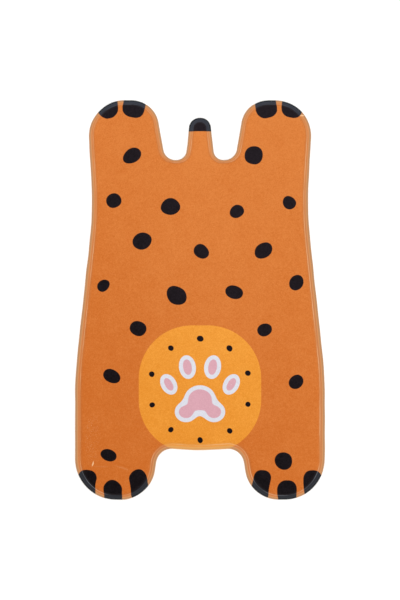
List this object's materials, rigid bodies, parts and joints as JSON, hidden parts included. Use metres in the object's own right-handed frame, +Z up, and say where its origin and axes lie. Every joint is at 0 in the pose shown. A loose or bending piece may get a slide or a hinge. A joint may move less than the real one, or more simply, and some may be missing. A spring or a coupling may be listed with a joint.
{
  "type": "nursery rug",
  "caption": "Flat padded nursery rug cut like a spread animal pelt, with four rounded paws, a tail and an edge pressed thin all round.",
  "frame": {"origin": "on the floor, under the middle of the rug's bounding box", "axes": "+Z up out of the printed face, +Y towards the tail and hind paws, +X to the right seen from above with the tail at the top"},
  "size_m": [0.6, 0.96, 0.008],
  "materials": {
    "printed_pile": "short soft pile printed orange with black spots, pressed flat and a little shinier at the edge"
  },
  "bodies": {
    "root": {"mat": "printed_pile"}
  },
  "joints": []
}
